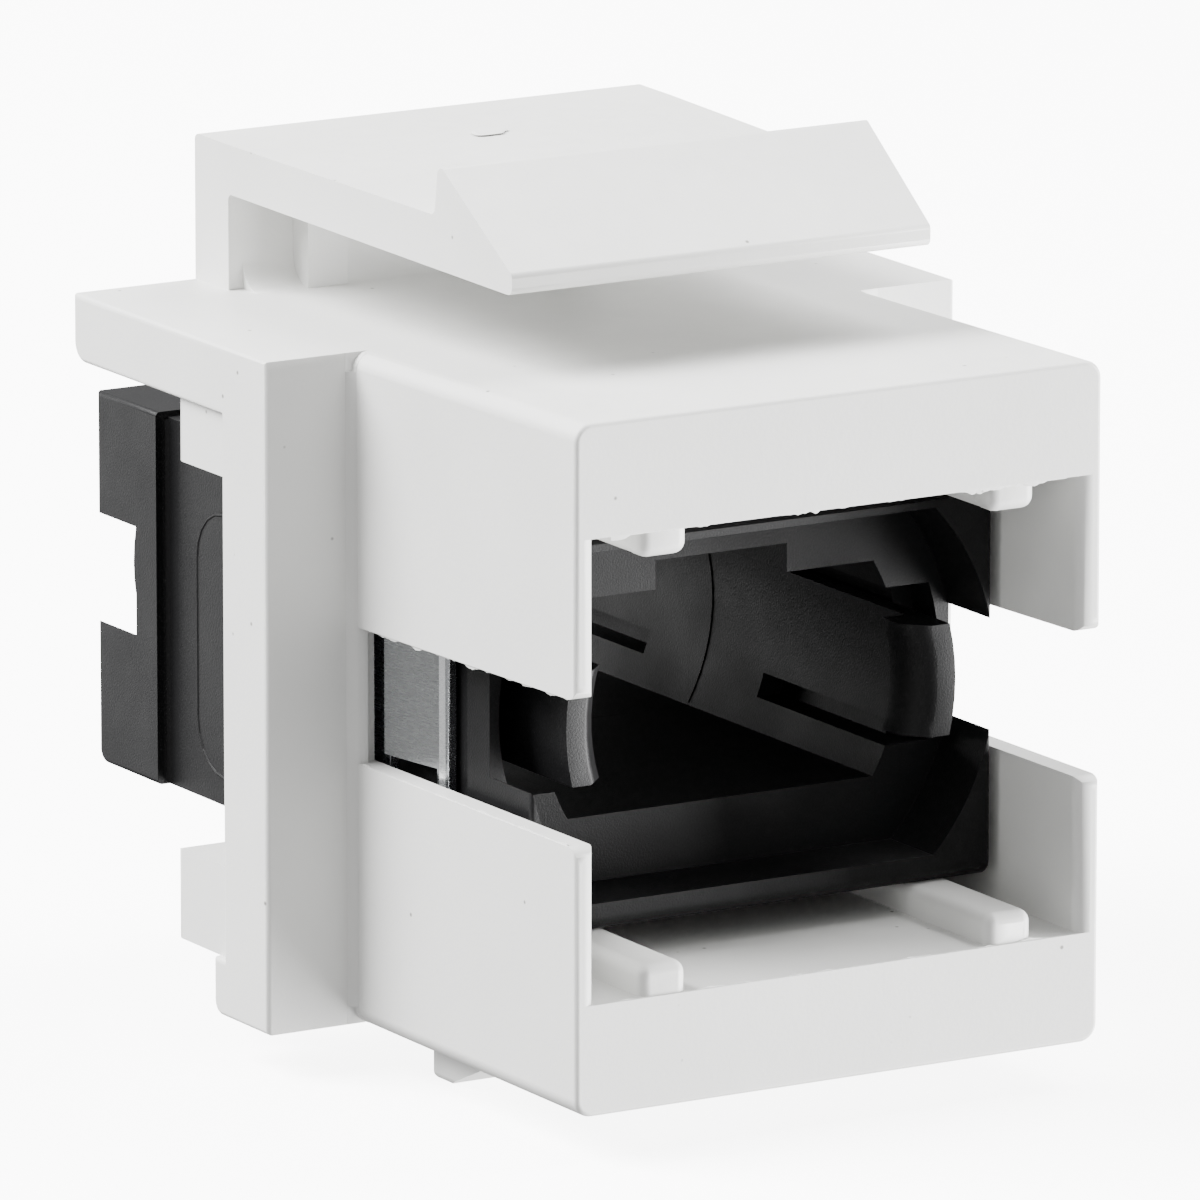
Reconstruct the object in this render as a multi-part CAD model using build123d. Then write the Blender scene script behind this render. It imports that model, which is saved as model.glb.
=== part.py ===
"""Snap-in fibre adapter: a moulded panel housing that carries a through adapter for flat multi-fibre plugs.

Frame: +X to the right seen from the front, +Y from front to rear, +Z up, millimetres.
The origin lies on the axis of the plug channel, in the plane of the flange face that seats on the panel.
"""

import os

from build123d import *

# Front box of the housing, the part that fills the panel opening
box_width = 14.5
box_reach = 10.45
front_rise = 0.16
side_wall = 0.57
floor_thickness = 2.7
roof_thickness = 2.6
roof_gap = 1.05
long_edge_radius = 0.45
front_edge_radius = 0.12
inner_edge_radius = 0.35

# Flange behind the box and the roof plate that runs back from it
flange_overhang = 2.4
flange_depth = 2.15
foot_depth = 0.5
foot_height = 1.4
plate_thickness = 1.65
plate_reach = 9.45
flange_edge_radius = 0.12
junction_web = 0.2
plate_underside_radius = 0.5
foot_radius = 0.35

# Side slots that let the plug's latch arms and the clip tabs spread
slot_low_front = -1.88
slot_low_rear = -1.95
slot_high_front = 1.67
slot_high_rear = 1.42
slot_mouth_radius = 0.35

# Guide ribs on the floor and under the roof of the box
rib_width = 1.3
rib_centre = 4.8
floor_rib_height = 0.75
roof_rib_gap = 0.4
rib_radius = 0.3

# Lugs behind the flange, beside the adapter's middle collar
lug_clearance = 0.35
lug_inset = 0.2
upper_lug_depth = 2.55
lower_lug_depth = 2.7
upper_lug_height = 1.6
lower_lug_height = 2.25
lower_lug_base = 1.4
lug_radius = 0.3

# Sprung latch on the roof plate
latch_width = 12.5
latch_tip_width = 11.6
latch_leg = 1.65
latch_height = 3.63
arm_thickness_root = 1.24
arm_thickness_tip = 0.5
arm_drop = 0.29
arm_top_drop = 0.16
panel_gap = 1.8
wedge_height = 1.3
wedge_length = 3.25
latch_radius = 0.18
latch_corner_radius = 0.15
latch_root_radius = 0.75
latch_root_inset = 0.4
gusset_width = 1.1
gusset_depth = 0.75
gusset_centre = 3.9

# Fixed catch under the box
nib_width = 12.2
nib_height = 1.1
nib_flat = 0.7
nib_ramp = 2.5
nib_radius = 0.18

# Adapter body, two equal halves welded at the middle
adapter_clearance = 0.28
adapter_height = 9.4
channel_axis_height = 4.95
half_length = 10.6
rim_length = 3.0
rim_recess = 0.34
top_recess = 0.15
rim_radius = 0.12
lower_end_radius = 0.35
collar_overhang = 0.95
collar_height = 10.1
collar_rise = 0.25
collar_thickness = 1.5
collar_radius = 0.4
seam_chamfer = 0.06
pad_start = 4.6
pad_length = 4.1
pad_height = 6.6
pad_drop = 0.92
pad_radius = 1.3
pad_thickness = 0.08

# Plug channel through each half
channel_width = 10.0
channel_height = 5.32
channel_side_radius = 5.16
keyway_width = 3.66
keyway_top = 3.37
keyway_end_wall = 1.6
mouth_depth = 1.95
mouth_height = 8.54
mouth_side_wall = 0.04
mouth_corner_radius = 6.15

# Latch arms moulded inside each half, and the notches that clear them
hook_arm_height = 2.75
hook_arm_thickness = 0.42
hook_arm_length = 7.9
hook_arm_setback = 0.05
hook_reach = 0.6
hook_flat = 0.5
hook_ramp = 0.55
hook_land = 0.8
arm_pocket_height = 3.9
rim_wall = 0.26
barrel_wall = 0.44
notch_height = 2.75

# Sheet-steel retaining clip round the front half
clip_thickness = 0.25
clip_start_gap = 0.95
clip_rear_gap = 0.2
clip_skirt = 3.2
clip_tab_height = 3.1
clip_tab_drop = 0.15
clip_tab_width_gap = 0.25
clip_window_fall = 0.45
clip_tab_start = 0.5
clip_tab_length = 2.0
clip_tab_flare = 0.31
clip_edge_radius = 0.1
clip_bend_radius = 0.35

# Heights and stations worked out from the sizes above
adapter_bottom = -channel_axis_height
adapter_top = adapter_bottom + adapter_height
box_floor = adapter_bottom - floor_rib_height
box_bottom = box_floor - floor_thickness
box_ceiling = adapter_top + roof_gap
box_top = box_ceiling + roof_thickness
box_front = -box_reach
tunnel_half = box_width / 2 - side_wall
flange_width = box_width + 2 * flange_overhang
plate_bottom = box_top - plate_thickness
plate_rear = plate_reach
seam = flange_depth + collar_thickness
adapter_front = seam - half_length
rim_half = tunnel_half - adapter_clearance
barrel_half = rim_half - rim_recess
collar_half = rim_half + collar_overhang
rim_pocket_half = rim_half - rim_wall
barrel_pocket_half = barrel_half - barrel_wall
barrel_top = adapter_top - top_recess


def block(x_range, y_range, z_range):
    """Box between the given lowest and highest x, y and z."""
    sizes = [high - low for low, high in (x_range, y_range, z_range)]
    centre = [(low + high) / 2 for low, high in (x_range, y_range, z_range)]
    return Pos(*centre) * Box(*sizes)


def side_profile(points, width):
    """Prism across the part, from an outline of (y, z) points."""
    outline = Plane.YZ * make_face(Polyline(*points, close=True))
    return extrude(outline, amount=width / 2, both=True)


def plan_profile(points, z_range):
    """Upright prism from an outline of (x, y) points."""
    low, high = z_range
    outline = Pos(0, 0, low) * make_face(Polyline(*points, close=True))
    return extrude(outline, amount=high - low)


def both_sides(solid):
    """The given solid and its mirror image across the middle plane."""
    return [solid, mirror(solid, about=Plane.YZ)]


def rounded_outline(points, corners, radius):
    """Face from (x, y) points, with the corners nearest the listed ones rounded."""
    face = make_face(Polyline(*points, close=True))
    chosen = [
        vertex
        for vertex in face.vertices()
        if any(abs(vertex.X - x) + abs(vertex.Y - y) < 0.001 for x, y in corners)
    ]
    return fillet(chosen, radius)


def running(axis_name):
    """Test for edges that run mostly along one axis."""
    return lambda edge: abs(getattr(edge.tangent_at(0.5), axis_name)) > 0.9


def front_box():
    """Solid block of the box, with its long edges and its front edges rounded."""
    outline = [
        (box_front, box_bottom),
        (flange_depth, box_bottom),
        (flange_depth, box_top),
        (0, box_top),
        (box_front, box_top + front_rise),
    ]
    body = side_profile(outline, box_width)
    body = fillet(body.edges().filter_by(running("Y")), long_edge_radius)
    front = body.faces().sort_by(Axis.Y)[0]
    return fillet(front.edges(), front_edge_radius)


def flange_and_plate():
    """Flange with its thicker foot, and the plate that runs back from its top."""
    outline = [
        (0, box_bottom),
        (flange_depth + foot_depth, box_bottom),
        (flange_depth + foot_depth, box_bottom + foot_height),
        (flange_depth, box_bottom + foot_height),
        (flange_depth, plate_bottom),
        (plate_rear, plate_bottom),
        (plate_rear, box_top),
        (0, box_top),
    ]
    body = side_profile(outline, flange_width)
    rear_edges = body.edges().filter_by(Axis.X).filter_by(
        lambda edge: edge.center().Y > plate_rear - 0.01 and edge.center().Z < box_top - 0.01
    )
    body = fillet(rear_edges, plate_underside_radius)
    foot_edge = body.edges().filter_by(Axis.X).filter_by(
        lambda edge: edge.center().Z < box_bottom + 0.01 and edge.center().Y > 0.01
    )
    body = fillet(foot_edge, foot_radius)
    side_faces = body.faces().filter_by(Axis.X)
    return fillet(side_faces.edges(), flange_edge_radius)


def latch():
    """Leg, sprung arm and wedge of the latch, with the two gussets in its root."""
    top = box_top + latch_height
    leg_front = plate_rear - latch_leg
    wedge_back = -panel_gap
    nose = wedge_back - wedge_length
    arm_bottom = top - arm_thickness_root
    nose_bottom = arm_bottom - arm_drop
    wedge_back_top = top - arm_top_drop
    outline = [
        (leg_front, box_top - plate_thickness / 2),
        (leg_front, arm_bottom),
        (nose, nose_bottom),
        (nose, nose_bottom + arm_thickness_tip),
        (wedge_back, wedge_back_top + wedge_height),
        (wedge_back + latch_radius, wedge_back_top),
        (plate_rear, top),
        (plate_rear, box_top - plate_thickness / 2),
    ]
    section = rounded_outline(outline, [(leg_front, arm_bottom)], latch_corner_radius)
    body = extrude(Plane.YZ * section, amount=latch_width / 2, both=True)
    taper = [
        (latch_width / 2, plate_rear),
        (latch_width / 2, leg_front),
        (latch_tip_width / 2, nose),
        (-latch_tip_width / 2, nose),
        (-latch_width / 2, leg_front),
        (-latch_width / 2, plate_rear),
    ]
    body = body & plan_profile(taper, (box_bottom, top + latch_height))
    upper_edges = body.edges().filter_by(lambda edge: edge.center().Z > nose_bottom - 0.01)
    body = fillet(upper_edges.filter_by(Axis.X), latch_radius)
    gusset = block(
        (gusset_centre - gusset_width / 2, gusset_centre + gusset_width / 2),
        (leg_front - gusset_depth, leg_front + latch_leg / 2),
        (box_top - plate_thickness / 2, arm_bottom + arm_thickness_root / 2),
    )
    root = [
        (leg_front + latch_leg / 2, box_top - plate_thickness / 2),
        (leg_front - latch_root_radius * 1.1, box_top - plate_thickness / 2),
        (leg_front - latch_root_radius * 1.1, box_top),
        (leg_front, box_top),
        (leg_front, box_top + latch_root_radius * 1.1),
        (leg_front + latch_leg / 2, box_top + latch_root_radius * 1.1),
    ]
    section = rounded_outline(root, [(leg_front, box_top)], latch_root_radius)
    fill = extrude(Plane.YZ * section, amount=latch_width / 2 - latch_root_inset, both=True)
    return body + fill + both_sides(gusset)


def nib():
    """Fixed catch under the box: square rear face, short flat, long ramp to the front."""
    rear = -panel_gap
    bottom = box_bottom - nib_height
    outline = [
        (rear, box_bottom + nib_height),
        (rear, bottom),
        (rear - nib_flat, bottom),
        (rear - nib_flat - nib_ramp, box_bottom),
        (rear - nib_flat - nib_ramp, box_bottom + nib_height),
    ]
    body = side_profile(outline, nib_width)
    lower = body.edges().filter_by(lambda edge: edge.center().Z < box_bottom - nib_height / 2)
    return fillet(lower, nib_radius)


def guide_rib(z_low, z_high, free_edge_at_top):
    """Rounded rail along the tunnel, at the right-hand side."""
    rail = block(
        (rib_centre - rib_width / 2, rib_centre + rib_width / 2),
        (box_front + front_edge_radius / 2, flange_depth),
        (z_low, z_high),
    )
    free_height = z_high if free_edge_at_top else z_low
    free_edges = rail.edges().filter_by(
        lambda edge: abs(edge.center().Z - free_height) < 0.01 and edge.center().Y < flange_depth - 0.01
    )
    front_edges = rail.edges().filter_by(Axis.Z).filter_by(lambda edge: edge.center().Y < 0)
    return fillet(free_edges + front_edges, rib_radius)


def lug(z_low, z_high, depth):
    """Short block behind the flange, at the right-hand side."""
    body = block(
        (collar_half + lug_clearance, flange_width / 2 - lug_inset),
        (flange_depth / 2, flange_depth + depth),
        (z_low, z_high),
    )
    rear = body.faces().sort_by(Axis.Y)[-1]
    return fillet(rear.edges(), lug_radius)


def side_slot():
    """Cutter for both side slots, with the mouth flared at the front edge of the walls."""
    outline = [
        (0, slot_low_rear),
        (box_front, slot_low_front),
        (box_front, slot_low_front - slot_mouth_radius * 2),
        (box_front - 1, slot_low_front - slot_mouth_radius * 2),
        (box_front - 1, slot_high_front + slot_mouth_radius * 2),
        (box_front, slot_high_front + slot_mouth_radius * 2),
        (box_front, slot_high_front),
        (0, slot_high_rear),
    ]
    mouth = [(box_front, slot_low_front), (box_front, slot_high_front)]
    section = rounded_outline(outline, mouth, slot_mouth_radius)
    return extrude(Plane.YZ * section, amount=box_width, both=True)


def tunnel_cutter():
    """Cutter for the tunnel through the housing, with the walls' inner front edges rounded."""
    flare = tunnel_half + inner_edge_radius * 2
    rear = flange_depth + foot_depth + 1
    outline = [
        (-tunnel_half, rear),
        (-tunnel_half, box_front),
        (-flare, box_front),
        (-flare, box_front - 1),
        (flare, box_front - 1),
        (flare, box_front),
        (tunnel_half, box_front),
        (tunnel_half, rear),
    ]
    mouth = [(-tunnel_half, box_front), (tunnel_half, box_front)]
    section = rounded_outline(outline, mouth, inner_edge_radius)
    return extrude(Pos(0, 0, box_floor) * section, amount=box_ceiling - box_floor)


def make_housing():
    body = front_box() + flange_and_plate() + latch() + nib()
    body -= tunnel_cutter()
    body -= side_slot()
    floor_rib = guide_rib(box_floor - floor_thickness / 2, box_floor + floor_rib_height, True)
    roof_rib = guide_rib(adapter_top + roof_rib_gap, box_ceiling + roof_thickness / 2, False)
    upper_lug = lug(plate_bottom - upper_lug_height, plate_bottom + plate_thickness / 2, upper_lug_depth)
    lower_lug_bottom = box_bottom + lower_lug_base
    lower_lug = lug(lower_lug_bottom, lower_lug_bottom + lower_lug_height, lower_lug_depth)
    web = plan_profile(
        [
            (tunnel_half + side_wall / 2, flange_depth / 2),
            (box_width / 2 + junction_web, flange_depth / 2),
            (box_width / 2 + junction_web, 0),
            (box_width / 2, -junction_web),
            (tunnel_half + side_wall / 2, -junction_web),
        ],
        (box_bottom, box_top),
    )
    body += both_sides(web)
    for piece in (floor_rib, roof_rib, upper_lug, lower_lug):
        body += both_sides(piece)
    return body


def outer_shell():
    """Outside of one half: rim, barrel, side pads and half of the middle collar; y = 0 at the plug end."""
    rim = block(
        (-rim_half, rim_half),
        (0, rim_length),
        (adapter_bottom, adapter_top),
    )
    lower_end = rim.edges().filter_by(Axis.X).filter_by(
        lambda edge: edge.center().Y < 0.01 and edge.center().Z < 0
    )
    rim = fillet(lower_end, lower_end_radius)
    rim = fillet(rim.edges().filter_by(Axis.Y), rim_radius)
    barrel = block(
        (-barrel_half, barrel_half),
        (rim_length / 2, half_length),
        (adapter_bottom, barrel_top),
    )
    collar = block(
        (-collar_half, collar_half),
        (half_length - collar_thickness, half_length),
        (adapter_top - collar_height + collar_rise, adapter_top + collar_rise),
    )
    collar = fillet(collar.edges().filter_by(Axis.Y), collar_radius)
    seam_face = collar.faces().sort_by(Axis.Y)[-1]
    collar = chamfer(seam_face.edges(), seam_chamfer)
    pad_face = Plane.YZ * RectangleRounded(pad_length, pad_height, pad_radius)
    pad = Pos(0, pad_start + pad_length / 2, -pad_drop) * extrude(
        pad_face, amount=barrel_half + pad_thickness, both=True
    )
    return rim + barrel + collar + pad


def bowed_side(radius, reach, height):
    """Distance from the middle plane of a side bowed outward to the given reach, at that height."""
    return reach - radius + (radius**2 - height**2) ** 0.5


def ring(point_at, heights, is_curved):
    """Closed outline, flat at top and bottom, with mirrored sides through the given heights."""
    edges = []
    levels = heights + [-height for height in reversed(heights)]
    for way in (1, -1):
        start = point_at(levels[0])
        edges.append(Line((-way * start, way * levels[0]), (way * start, way * levels[0])))
        for high, low, curved in zip(levels, levels[1:], is_curved):
            middle = (high + low) / 2
            ends = [(way * point_at(level), way * level) for level in (high, low)]
            if curved:
                edges.append(ThreePointArc(ends[0], (way * point_at(middle), way * middle), ends[1]))
            else:
                edges.append(Line(*ends))
    return make_face(edges)


def channel_cutter():
    """Plug channel through the whole half: flat floor and ceiling, bowed sides."""
    outline = ring(
        lambda height: bowed_side(channel_side_radius, channel_width / 2, height),
        [channel_height / 2],
        [True],
    )
    return extrude(Plane.XZ * outline, amount=-half_length)


def mouth_cutter():
    """Straight recess at the plug end, with bowed sides that stay upright across the side notches."""
    notch_fall = mouth_corner_radius - (mouth_corner_radius**2 - (notch_height / 2) ** 2) ** 0.5
    reach = rim_half - mouth_side_wall + notch_fall
    outline = ring(
        lambda height: bowed_side(mouth_corner_radius, reach, height),
        [mouth_height / 2, notch_height / 2],
        [True, False, True],
    )
    return extrude(Plane.XZ * outline, amount=-mouth_depth)


def arm_pocket(pocket_half, pocket_end):
    """Cutter behind the mouth that clears both latch arms, bowed like the channel's sides."""
    radius = channel_side_radius + pocket_half - channel_width / 2
    outline = ring(
        lambda height: bowed_side(radius, pocket_half, height),
        [arm_pocket_height / 2],
        [True],
    )
    start = mouth_depth - 0.01
    return Pos(0, start, 0) * extrude(Plane.XZ * outline, amount=start - pocket_end)


def keyway_cutter():
    """Slot for the plug's key, above the channel."""
    return block(
        (-keyway_width / 2, keyway_width / 2),
        (mouth_depth / 2, half_length - keyway_end_wall),
        (0, keyway_top),
    )


def hook_arm():
    """Right-hand latch arm, bowed like the channel's side, with an inward hook at its tip."""
    inner = channel_width / 2
    outer = inner + hook_arm_thickness
    tip = hook_arm_setback
    outline = [
        (outer, tip),
        (outer - hook_flat, tip),
        (inner - hook_reach, tip + hook_ramp),
        (inner - hook_reach, tip + hook_ramp + hook_land),
        (inner, tip + hook_ramp + hook_land),
        (inner, hook_arm_length + 0.5),
        (outer, hook_arm_length + 0.5),
    ]
    bow_axis = Axis((inner - channel_side_radius, 0, 0), (0, 1, 0))
    swept = revolve(make_face(Polyline(*outline, close=True)), axis=bow_axis, revolution_arc=60)
    swept = swept.rotate(bow_axis, -30)
    slab = block((0, box_width), (0, half_length), (-hook_arm_height / 2, hook_arm_height / 2))
    return swept & slab


def make_half():
    """One half of the adapter, with its plug end at y = 0 and its weld face at y = half_length."""
    body = outer_shell() - channel_cutter() - mouth_cutter() - keyway_cutter()
    body -= arm_pocket(rim_pocket_half, rim_length)
    body -= arm_pocket(barrel_pocket_half, hook_arm_length)
    body -= block(
        (-box_width, box_width),
        (-1, mouth_depth),
        (-notch_height / 2, notch_height / 2),
    )
    return body + both_sides(hook_arm())


def make_clip():
    """U-shaped spring clip over the front half, with one sprung tab cut from each side."""
    inner = barrel_half + pad_thickness
    outer = inner + clip_thickness
    front = adapter_front + rim_length + clip_start_gap
    rear = flange_depth - clip_rear_gap
    top = barrel_top + clip_thickness
    outside = block((-outer, outer), (front, rear), (-clip_skirt, top))
    outside = fillet(
        outside.edges().filter_by(Axis.Y).filter_by(lambda edge: edge.center().Z > 0), clip_bend_radius
    )
    outside = fillet(outside.faces().sort_by(Axis.Y)[0].edges(), clip_edge_radius)
    inside = block((-inner, inner), (front - 1, rear + 1), (-clip_skirt - 1, barrel_top))
    sheet = outside - inside
    tab_root = front + clip_tab_start
    tab_half = clip_tab_height / 2
    window = block(
        (-outer - 1, outer + 1),
        (tab_root, tab_root + clip_tab_length + clip_tab_width_gap),
        (-clip_tab_drop - tab_half - clip_tab_width_gap - clip_window_fall, -clip_tab_drop + tab_half + clip_tab_width_gap),
    )
    tab = plan_profile(
        [
            (inner, tab_root - clip_tab_start / 2),
            (inner, tab_root),
            (inner + clip_tab_flare, tab_root + clip_tab_length),
            (outer + clip_tab_flare, tab_root + clip_tab_length),
            (outer, tab_root),
            (outer, tab_root - clip_tab_start / 2),
        ],
        (-clip_tab_drop - tab_half, -clip_tab_drop + tab_half),
    )
    return sheet - window + both_sides(tab)


half = make_half()
front_half = Pos(0, adapter_front, 0) * half
rear_half = Pos(0, seam + half_length, 0) * Rot(0, 0, 180) * half

nodes = {
    "keystone_housing": make_housing(),
    "adapter_front_half": front_half,
    "adapter_rear_half": rear_half,
    "retaining_clip": make_clip(),
}

os.makedirs("parts", exist_ok=True)
for name, shape in nodes.items():
    export_step(shape, f"parts/{name}.step")
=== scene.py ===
from math import cos, pi, radians, sin

import bmesh
import bpy
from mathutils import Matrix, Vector, noise


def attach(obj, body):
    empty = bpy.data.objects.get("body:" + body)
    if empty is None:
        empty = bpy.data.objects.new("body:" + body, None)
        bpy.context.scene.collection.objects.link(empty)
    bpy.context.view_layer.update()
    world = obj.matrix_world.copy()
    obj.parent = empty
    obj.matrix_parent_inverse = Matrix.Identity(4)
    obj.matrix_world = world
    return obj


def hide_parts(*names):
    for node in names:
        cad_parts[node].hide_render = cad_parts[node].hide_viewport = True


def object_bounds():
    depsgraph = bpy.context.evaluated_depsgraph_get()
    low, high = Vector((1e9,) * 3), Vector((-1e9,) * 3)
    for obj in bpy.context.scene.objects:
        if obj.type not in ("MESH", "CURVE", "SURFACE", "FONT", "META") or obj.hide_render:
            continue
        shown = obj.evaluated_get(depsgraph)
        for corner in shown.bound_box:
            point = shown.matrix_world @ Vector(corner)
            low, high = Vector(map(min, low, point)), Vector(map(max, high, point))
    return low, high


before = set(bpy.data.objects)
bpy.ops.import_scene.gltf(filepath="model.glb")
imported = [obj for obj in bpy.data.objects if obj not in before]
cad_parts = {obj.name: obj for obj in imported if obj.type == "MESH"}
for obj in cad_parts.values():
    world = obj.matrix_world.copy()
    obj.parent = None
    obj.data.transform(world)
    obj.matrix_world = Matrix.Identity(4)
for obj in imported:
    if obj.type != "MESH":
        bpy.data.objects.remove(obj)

cad_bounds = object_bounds()
MM = 0.001

# Edges of the housing where resin has crept out of the mould, in millimetres
box_half = 7.25
box_front = -10.45
tunnel_half = 6.68
tunnel_floor = -5.7
tunnel_ceiling = 5.5
slot_top_front = 1.67
slot_top_rear = 1.42
slot_bottom_front = -1.88
slot_bottom_rear = -1.95
slot_rear_end = -0.2
slot_front_end = -10.0

# Gate mark on top of the latch: place and sizes in millimetres, then shares of its radius or height
latch_top = 11.73
gate_place = 5.95
gate_radius = 0.34
gate_height = 0.014
gate_top_share = 0.8
gate_stretch = 1.5
gate_slant = 0.6

# Corner web between the box and the flange, trimmed to the box's rounded long edges, in millimetres
box_top = 8.1
box_bottom = -8.4
long_edge_radius = 0.45
trim_clearance = 0.01
trim_reach = 0.4
trim_gap = 0.004
trim_margin = 1.0

# Rounded front end of a roof rib, in millimetres
rib_place = 4.8
nose_centre = (-9.95, 5.37)
nose_size = (1.32, 0.9, 1.06)
nose_radius = 0.3

# Film of crept resin, in millimetres
film_step = 0.06
film_root = 0.08
film_thickness = 0.07
film_inset = 0.05
film_corner_gap = 0.4

# Outside of the black adapter, its channel and its clip, in millimetres
barrel_half = 6.06
barrel_bottom = -4.95
barrel_top = 4.3
seam_place = 3.65
rear_step = 11.25
front_step = -3.95
step_fillet = 0.16
pad_half = 6.14
pad_centre = (7.6, -0.92)
pad_size = (4.1, 6.6)
pad_radius = 1.3
channel_half = 5.0
channel_bow = 5.16
channel_half_height = 2.6
bead_half = 0.05
bead_height = 0.03
clip_bottom = -3.2

# Section through the clip's sheared edge on the right, as (x, y), in millimetres
burr_section = [(6.26, -2.7), (6.46, -2.72), (6.42, -2.85), (6.34, -2.97), (6.26, -2.97)]

# Distance of every light panel from the part, in metres
panel_distance = 0.40


def srgb(code):
    """Linear RGBA from an sRGB hex colour."""
    values = [int(code[i:i + 2], 16) / 255 for i in (1, 3, 5)]
    return tuple(v / 12.92 if v <= 0.04045 else ((v + 0.055) / 1.055) ** 2.4 for v in values) + (1.0,)


def add(tree, kind, inputs=(), stops=(), **settings):
    """New node of that kind, with its settings, its inputs and, on a ramp, its (place, colour) stops."""
    node = tree.nodes.new(kind)
    for key, value in settings.items():
        setattr(node, key, value)
    for key, value in dict(inputs).items():
        if isinstance(value, bpy.types.NodeSocket):
            tree.links.new(value, node.inputs[key])
        else:
            node.inputs[key].default_value = value
    for element, (place, colour) in zip(node.color_ramp.elements if stops else (), stops):
        element.position, element.color = place, srgb(colour)
    return node


def new_material(name, **values):
    """Material with its tree, its shader and its object coordinates in metres."""
    material = bpy.data.materials.new(name)
    material.use_nodes = True
    tree = material.node_tree
    shader = tree.nodes["Principled BSDF"]
    for key, value in values.items():
        shader.inputs[key.replace("_", " ")].default_value = value
    return material, tree, shader, add(tree, "ShaderNodeTexCoord").outputs["Object"]


def white_abs():
    """Injection-moulded white ABS: satin, faintly mottled, with a few dark specks of burnt resin."""
    material, tree, shader, place = new_material("white_moulded_abs", IOR=1.53)
    cloud = add(tree, "ShaderNodeTexNoise", {"Vector": place, "Scale": 300, "Detail": 3.0}).outputs["Fac"]
    specks = add(tree, "ShaderNodeTexVoronoi", {"Vector": place, "Scale": 700}).outputs["Distance"]
    tint = add(tree, "ShaderNodeValToRGB", {"Fac": cloud}, [(0.35, "#d6d6d4"), (0.7, "#dadad8")])
    speck = add(tree, "ShaderNodeValToRGB", {"Fac": specks}, [(0.02, "#5c5953"), (0.045, "#ffffff")])
    colour = add(tree, "ShaderNodeMix", data_type="RGBA", blend_type="MULTIPLY")
    colour.inputs["Factor"].default_value = 0.8
    tree.links.new(tint.outputs["Color"], colour.inputs[6])
    tree.links.new(speck.outputs["Color"], colour.inputs[7])
    tree.links.new(colour.outputs[2], shader.inputs["Base Color"])
    coarse = add(tree, "ShaderNodeTexNoise", {"Vector": place, "Scale": 1800, "Detail": 3.0}).outputs["Fac"]
    fine = add(tree, "ShaderNodeTexNoise", {"Vector": place, "Scale": 9000, "Detail": 2.0}).outputs["Fac"]
    wavy = add(tree, "ShaderNodeBump", {"Height": coarse, "Distance": 0.000012, "Strength": 0.35})
    grain = add(tree, "ShaderNodeBump", {
        "Height": fine, "Distance": 0.000006, "Strength": 0.5, "Normal": wavy.outputs["Normal"]})
    tree.links.new(grain.outputs["Normal"], shader.inputs["Normal"])
    gloss = add(tree, "ShaderNodeValToRGB", {"Fac": coarse}, [(0.3, "#b0b0b0"), (0.7, "#c0c0c0")])
    tree.links.new(gloss.outputs["Color"], shader.inputs["Roughness"])
    return material


def black_pbt():
    """Injection-moulded black PBT: near-black and matt, with a fine spark-eroded grain."""
    material, tree, shader, place = new_material("black_moulded_pbt", IOR=1.5, Specular_IOR_Level=0.17)
    cloud = add(tree, "ShaderNodeTexNoise", {"Vector": place, "Scale": 400, "Detail": 4.0}).outputs["Fac"]
    grain = add(tree, "ShaderNodeTexNoise", {"Vector": place, "Scale": 20000, "Detail": 2.0}).outputs["Fac"]
    tint = add(tree, "ShaderNodeValToRGB", {"Fac": grain}, [(0.3, "#0a0a0b"), (0.7, "#111112")])
    tree.links.new(tint.outputs["Color"], shader.inputs["Base Color"])
    wavy = add(tree, "ShaderNodeBump", {"Height": cloud, "Distance": 0.00001, "Strength": 0.3})
    rough = add(tree, "ShaderNodeBump", {
        "Height": grain, "Distance": 0.000012, "Strength": 0.6, "Normal": wavy.outputs["Normal"]})
    tree.links.new(rough.outputs["Normal"], shader.inputs["Normal"])
    gloss = add(tree, "ShaderNodeValToRGB", {"Fac": cloud}, [(0.3, "#b4b4b4"), (0.7, "#c4c4c4")])
    tree.links.new(gloss.outputs["Color"], shader.inputs["Roughness"])
    return material


def spring_steel(name, dull, bright):
    """Rolled spring steel with fine lines along the strip, between a dull and a bright shade."""
    material, tree, shader, place = new_material(name, Metallic=1.0)
    along = add(tree, "ShaderNodeMapping", {"Vector": place, "Scale": (1.0, 0.04, 1.0)}).outputs["Vector"]
    lines = add(tree, "ShaderNodeTexNoise", {"Vector": along, "Scale": 26000, "Detail": 2.0}).outputs["Fac"]
    tint = add(tree, "ShaderNodeValToRGB", {"Fac": lines}, [(0.3, dull), (0.7, bright)])
    tree.links.new(tint.outputs["Color"], shader.inputs["Base Color"])
    gloss = add(tree, "ShaderNodeValToRGB", {"Fac": lines}, [(0.3, "#808080"), (0.7, "#989898")])
    tree.links.new(gloss.outputs["Color"], shader.inputs["Roughness"])
    scratch = add(tree, "ShaderNodeBump", {"Height": lines, "Distance": 0.000002, "Strength": 0.15})
    tree.links.new(scratch.outputs["Normal"], shader.inputs["Normal"])
    return material


def floor_paint():
    """Matt white studio floor, a little uneven."""
    material, tree, shader, place = new_material("pale_studio_floor", Roughness=0.9, Emission_Strength=6.0)
    cloud = add(tree, "ShaderNodeTexNoise", {"Vector": place, "Scale": 6, "Detail": 2.0}).outputs["Fac"]
    tint = add(tree, "ShaderNodeValToRGB", {"Fac": cloud}, [(0.3, "#f8f8f8"), (0.7, "#fbfbfb")])
    tree.links.new(tint.outputs["Color"], shader.inputs["Base Color"])
    shader.inputs["Emission Color"].default_value = srgb("#ffffff")
    material.cycles.emission_sampling = "NONE"
    return material


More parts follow.
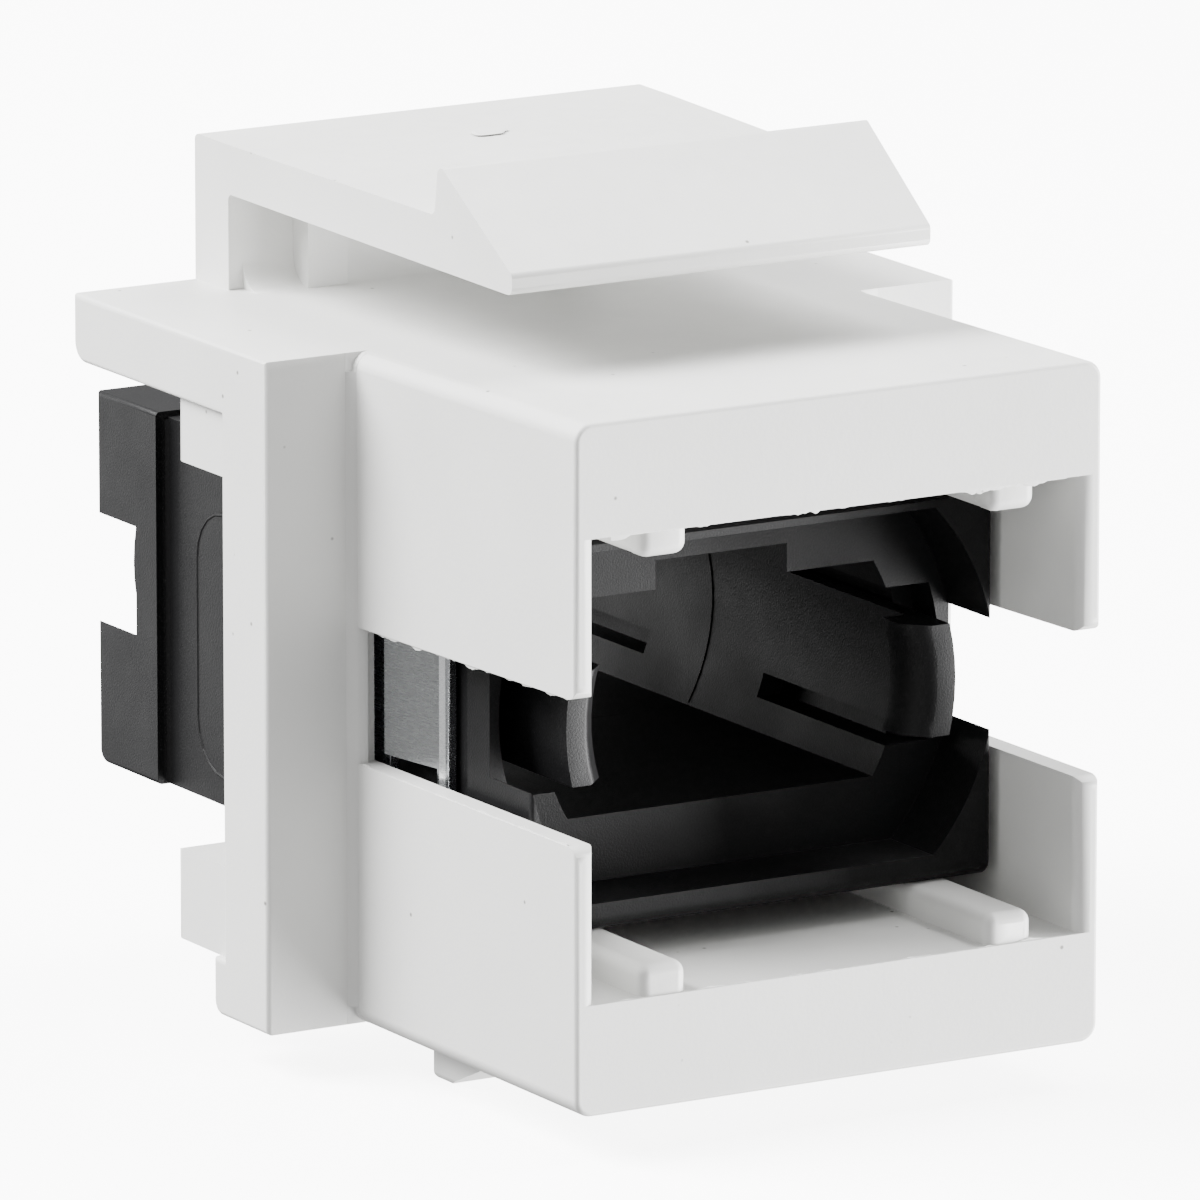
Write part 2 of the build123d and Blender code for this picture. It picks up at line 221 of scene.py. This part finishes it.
def web_trimmer():
    """Cutter for the square ends of the corner webs, hollowed to pass over the rounded edges of the box."""
    mesh = bmesh.new()
    radius = long_edge_radius + trim_clearance
    for side in (-1, 1):
        for edge_height, way in ((box_top, 1), (box_bottom, -1)):
            middle_x, middle_z = box_half - long_edge_radius, edge_height - way * long_edge_radius
            section = [
                (middle_x + radius * cos(radians(10 * k)), middle_z + way * radius * sin(radians(10 * k)))
                for k in range(10)
            ]
            outer_x = box_half + trim_margin
            outer_z = edge_height + way * trim_margin
            section += [(middle_x, outer_z), (outer_x, outer_z), (outer_x, middle_z)]
            near, far = [
                [mesh.verts.new(Vector((side * x, y, z)) * MM) for x, z in section]
                for y in (-trim_reach, -trim_gap)
            ]
            for k in range(len(section)):
                after = (k + 1) % len(section)
                mesh.faces.new((near[k], near[after], far[after], far[k]))
            mesh.faces.new(near)
            mesh.faces.new(reversed(far))
    bmesh.ops.recalc_face_normals(mesh, faces=mesh.faces)
    data = bpy.data.meshes.new("web_trimmer")
    mesh.to_mesh(data)
    mesh.free()
    cutter = bpy.data.objects.new("web_trimmer", data)
    bpy.context.collection.objects.link(cutter)
    return cutter


def dressed(node_name, material, edge, trimmer=None):
    """Copy of a CAD node with clean faces, softened edges and a moulded finish."""
    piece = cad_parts[node_name].copy()
    piece.data = piece.data.copy()
    piece.name = node_name + "_moulding"
    bpy.context.collection.objects.link(piece)
    mesh = bmesh.new()
    mesh.from_mesh(piece.data)
    bmesh.ops.remove_doubles(mesh, verts=mesh.verts, dist=2e-6)
    bmesh.ops.dissolve_limit(mesh, angle_limit=radians(0.5), verts=mesh.verts, edges=mesh.edges)
    mesh.to_mesh(piece.data)
    mesh.free()
    piece.data.materials.clear()
    piece.data.materials.append(material)
    bpy.ops.object.select_all(action="DESELECT")
    bpy.context.view_layer.objects.active = piece
    piece.select_set(True)
    if trimmer:
        trim = piece.modifiers.new("trimmed webs", "BOOLEAN")
        trim.operation = "DIFFERENCE"
        trim.solver = "EXACT"
        trim.object = trimmer
        bpy.ops.object.modifier_apply(modifier=trim.name)
        bpy.data.objects.remove(trimmer)
    bevel = piece.modifiers.new("soft edges", "BEVEL")
    bevel.width = edge
    bevel.segments = 2
    bevel.limit_method = "ANGLE"
    bevel.angle_limit = radians(50)
    bevel.use_clamp_overlap = True
    bevel.harden_normals = False
    bpy.ops.object.modifier_apply(modifier=bevel.name)
    bpy.ops.object.shade_smooth_by_angle(angle=radians(28))
    weighted = piece.modifiers.new("flat faces first", "WEIGHTED_NORMAL")
    weighted.keep_sharp = True
    bpy.ops.object.modifier_apply(modifier=weighted.name)
    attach(piece, "root")
    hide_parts(node_name)
    return piece


def film_reach(place, seed):
    """Share of its full reach that the film has at that place along the edge, from 0.2 to about 1."""
    lumps = noise.noise(Vector((place * 1.6, seed, 0)))
    grain = noise.noise(Vector((place * 6.5, seed, 3)))
    return 0.2 + max(0.0, 1.3 * lumps + 0.5 * grain)


def crept_film(name, start, end, out, reach, seed):
    """Ragged film of resin along an edge, standing out of it by up to the given reach; all in millimetres."""
    start, end, out = Vector(start), Vector(end), Vector(out)
    count = int((end - start).length / film_step)
    half = (end - start).cross(out).normalized() * film_thickness / 2
    mesh = bmesh.new()
    rows = []
    for i in range(count + 1):
        base = start.lerp(end, i / count)
        tip = out * reach * film_reach(i * film_step, seed)
        root = out * film_root
        corners = [base - half - root, base - half / 2 + tip, base + half / 2 + tip, base + half - root]
        rows.append([mesh.verts.new(corner * MM) for corner in corners])
    for near, far in zip(rows, rows[1:]):
        for k in range(4):
            mesh.faces.new((near[k], near[(k + 1) % 4], far[(k + 1) % 4], far[k]))
    mesh.faces.new(rows[0])
    mesh.faces.new(reversed(rows[-1]))
    new_piece(name, mesh, white)


def gate_mark():
    """Low witness of the runner, cut off on top of the latch."""
    mesh = bmesh.new()
    bmesh.ops.create_cone(
        mesh, segments=40, cap_ends=True, radius1=gate_radius * MM, radius2=gate_radius * gate_top_share * MM,
        depth=gate_height * 2 * MM)
    for vert in mesh.verts:
        angle = vert.co.to_2d().angle_signed(Vector((1, 0)), 0.0)
        swell = 1 + 0.14 * sin(2 * angle) + 0.07 * sin(5 * angle + 1)
        vert.co.x *= swell * gate_stretch
        vert.co.y *= swell
        if vert.co.z > 0:
            vert.co.z += gate_slant * gate_height * sin(angle) * MM
    bmesh.ops.translate(mesh, verts=mesh.verts, vec=Vector((0, gate_place, latch_top)) * MM)
    new_piece("latch_gate_mark", mesh, white)


def rib_nose(name, side):
    """Rounded front end of a roof rib, a hair proud of the rib and sunk into the roof above it."""
    bpy.ops.mesh.primitive_cube_add(size=1.0)
    piece = bpy.context.object
    piece.name = name
    middle = Vector((side * rib_place, nose_centre[0], nose_centre[1]))
    for vert in piece.data.vertices:
        vert.co = (middle + vert.co * Vector(nose_size)) * MM
    piece.data.materials.append(white)
    rounding = piece.modifiers.new("rounded nose", "BEVEL")
    rounding.width = nose_radius * MM
    rounding.segments = 6
    bpy.ops.object.modifier_apply(modifier=rounding.name)
    bpy.ops.object.shade_smooth_by_angle(angle=radians(28))
    weighted = piece.modifiers.new("flat faces first", "WEIGHTED_NORMAL")
    bpy.ops.object.modifier_apply(modifier=weighted.name)
    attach(piece, "root")


def step_fillet_strip(name, side, step, away):
    """Hollow fillet in the upright corner between barrel and rim; away is the barrel's way from it."""
    mesh = bmesh.new()
    section = [(0.0, 0.0), (0.0, 1.0), (0.1, 0.55), (0.3, 0.3), (0.55, 0.1), (1.0, 0.0)]
    rings = []
    for height in (barrel_bottom + film_inset, barrel_top - film_inset):
        ring = [
            Vector((side * (barrel_half + out * step_fillet), step + away * along * step_fillet, height))
            for out, along in section
        ]
        rings.append([mesh.verts.new(corner * MM) for corner in ring])
    low, high = rings
    for k in range(len(section)):
        after = (k + 1) % len(section)
        mesh.faces.new((low[k], low[after], high[after], high[k]))
    mesh.faces.new(low)
    mesh.faces.new(reversed(high))
    new_piece(name, mesh, black)


def rounded_loop(centre, size, radius):
    """Points of an upright rounded rectangle, as (y, z), six to a corner."""
    points = []
    for quarter, (way_y, way_z) in enumerate(((1, 1), (-1, 1), (-1, -1), (1, -1))):
        middle_y = centre[0] + way_y * (size[0] / 2 - radius)
        middle_z = centre[1] + way_z * (size[1] / 2 - radius)
        for step in range(6):
            angle = radians(90 * quarter + 18 * step)
            points.append((middle_y + radius * cos(angle), middle_z + radius * sin(angle)))
    return points


def bead(name, loops, closed):
    """Low bead of resin through three loops of points in millimetres: one foot, the ridge, the other foot."""
    mesh = bmesh.new()
    rows = [[mesh.verts.new(Vector(point) * MM) for point in loop] for loop in loops]
    count = len(rows[0]) if closed else len(rows[0]) - 1
    for near, far in zip(rows, rows[1:]):
        for k in range(count):
            after = (k + 1) % len(near)
            mesh.faces.new((near[k], near[after], far[after], far[k]))
    new_piece(name, mesh, black)


def pad_edge(name, side):
    """Bead round the thickened pad on the side of the rear half."""
    loops = []
    for grow, lift in ((bead_half, 0.0), (0.0, bead_height), (-bead_half, 0.0)):
        size = (pad_size[0] + 2 * grow, pad_size[1] + 2 * grow)
        x = side * (pad_half - bead_height / 4 + lift)
        loops.append([(x, y, z) for y, z in rounded_loop(pad_centre, size, pad_radius + grow)])
    bead(name, loops, True)


def weld_seam(name, side):
    """Bead of the weld between the two halves, on the bowed wall of the channel."""
    loops = []
    for along, lift in ((-bead_half, 0.0), (0.0, bead_height), (bead_half, 0.0)):
        heights = [channel_half_height * (k / 10 - 1) for k in range(21)]
        middle = channel_half - channel_bow
        loops.append([
            (side * (middle + (channel_bow**2 - z**2) ** 0.5 - lift), seam_place + along, z)
            for z in heights
        ])
    bead(name, loops, False)


def clip_burr(name, side):
    """Sheared front upright edge of the clip, turned outward so that it catches the light; its steel is a
    lighter copy of the clip's, partly burnished shear and partly a painted highlight.
    """
    mesh = bmesh.new()
    low, high = [
        [mesh.verts.new(Vector((side * x, y, height)) * MM) for x, y in burr_section]
        for height in (clip_bottom, barrel_top)
    ]
    for k in range(len(burr_section)):
        after = (k + 1) % len(burr_section)
        mesh.faces.new((low[k], low[after], high[after], high[k]))
    mesh.faces.new(low)
    mesh.faces.new(reversed(high))
    new_piece(name, mesh, burnished_and_highlit_steel)


def new_piece(name, mesh, material):
    """Small fixed piece built from the given mesh."""
    bmesh.ops.recalc_face_normals(mesh, faces=mesh.faces)
    data = bpy.data.meshes.new(name)
    mesh.to_mesh(data)
    mesh.free()
    data.materials.append(material)
    piece = bpy.data.objects.new(name, data)
    bpy.context.collection.objects.link(piece)
    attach(piece, "root")


def crept_films():
    """Films along the edges of the tunnel and of the left side slot."""
    front = box_front + film_inset
    wide = tunnel_half - film_corner_gap
    crept_film(
        "lintel_film", (-wide, front, tunnel_ceiling),
        (wide, front, tunnel_ceiling), (0, 0, -1), 0.12, 1.3)
    crept_film(
        "sill_film", (-wide, front, tunnel_floor),
        (wide, front, tunnel_floor), (0, 0, 1), 0.05, 4.7)
    wall = film_inset - box_half
    crept_film(
        "slot_top_film", (wall, slot_rear_end, slot_top_rear),
        (wall, slot_front_end, slot_top_front), (0, 0, -1), 0.1, 8.1)
    crept_film(
        "slot_bottom_film", (wall, slot_rear_end, slot_bottom_rear),
        (wall, slot_front_end, slot_bottom_front), (0, 0, 1), 0.06, 12.9)


def panel_light(name, azimuth, elevation, size, strength):
    """Square light panel aimed at the part; azimuth 0 is straight ahead of the port, and 90 is its right."""
    flat = cos(radians(elevation)) * panel_distance
    height = sin(radians(elevation)) * panel_distance
    place = Vector((sin(radians(azimuth)) * flat, -cos(radians(azimuth)) * flat, height))
    light = bpy.data.lights.new(name, "AREA")
    light.shape = "SQUARE"
    light.size = size
    light.energy = strength * (pi * panel_distance) ** 2
    lamp = bpy.data.objects.new(name, light)
    lamp.location = place
    lamp.rotation_euler = (-place).to_track_quat("-Z", "Y").to_euler()
    bpy.context.collection.objects.link(lamp)


def studio():
    """Pale floor, soft sky and large light panels."""
    bpy.ops.mesh.primitive_grid_add(x_subdivisions=8, y_subdivisions=8, size=3.0, location=(0, 0, 0))
    floor = bpy.context.object
    floor.name = "studio_floor"
    floor.data.transform(floor.matrix_world)
    floor.data.transform(floor.matrix_world.Translation((0, 0, cad_bounds[0][2])))
    floor.data.materials.append(floor_paint())
    floor.visible_diffuse = False
    floor.visible_glossy = False
    floor.visible_shadow = False
    world = bpy.data.worlds.new("soft_sky")
    world.use_nodes = True
    sky = world.node_tree.nodes["Background"]
    sky.inputs["Color"].default_value = (1.0, 1.0, 1.0, 1.0)
    sky.inputs["Strength"].default_value = 0.7
    bpy.context.scene.world = world
    panel_light("left_rear_panel", -120, 45, 0.26, 5.0)
    panel_light("high_right_panel", 100, 55, 0.30, 2.0)
    panel_light("low_front_panel", 62, -5, 0.16, 3.2)
    panel_light("under_front_panel", 55, -30, 0.20, 2.4)
    panel_light("rear_port_panel", -158, -3, 0.20, 0.25)


def camera():
    """Camera at the photograph's place, solved from its corners; eye and target in millimetres."""
    lens = bpy.data.cameras.new("photo_camera")
    lens.sensor_width = 36.0
    lens.lens = 440.3
    lens.clip_start = 0.01
    lens.clip_end = 20.0
    eye = Vector((-176.50, -296.95, 80.40)) * MM
    target = Vector((-6.592, -10.45, 4.032)) * MM
    shooter = bpy.data.objects.new("photo_camera", lens)
    shooter.location = eye
    shooter.rotation_euler = (target - eye).to_track_quat("-Z", "Y").to_euler()
    bpy.context.collection.objects.link(shooter)
    bpy.context.scene.camera = shooter


white = white_abs()
black = black_pbt()
steel = spring_steel("rolled_spring_steel", "#a9abae", "#b3b5b7")
# Lighter copy of the clip steel for the sheared edge: partly burnished shear, partly a painted highlight
burnished_and_highlit_steel = spring_steel("burnished_edge_and_painted_highlight", "#e2e3e5", "#eeeff0")
dressed("keystone_housing", white, 0.05 * MM, web_trimmer())
dressed("adapter_front_half", black, 0.04 * MM)
dressed("adapter_rear_half", black, 0.04 * MM)
dressed("retaining_clip", steel, 0.02 * MM)
crept_films()
gate_mark()
for side_name, side_way in (("left", -1), ("right", 1)):
    rib_nose(f"{side_name}_rib_nose", side_way)
    step_fillet_strip(f"{side_name}_rear_step", side_way, rear_step, -1)
    step_fillet_strip(f"{side_name}_front_step", side_way, front_step, 1)
    pad_edge(f"{side_name}_pad_edge", side_way)
    weld_seam(f"{side_name}_weld_seam", side_way)
    clip_burr(f"{side_name}_clip_burr", side_way)
studio()
camera()
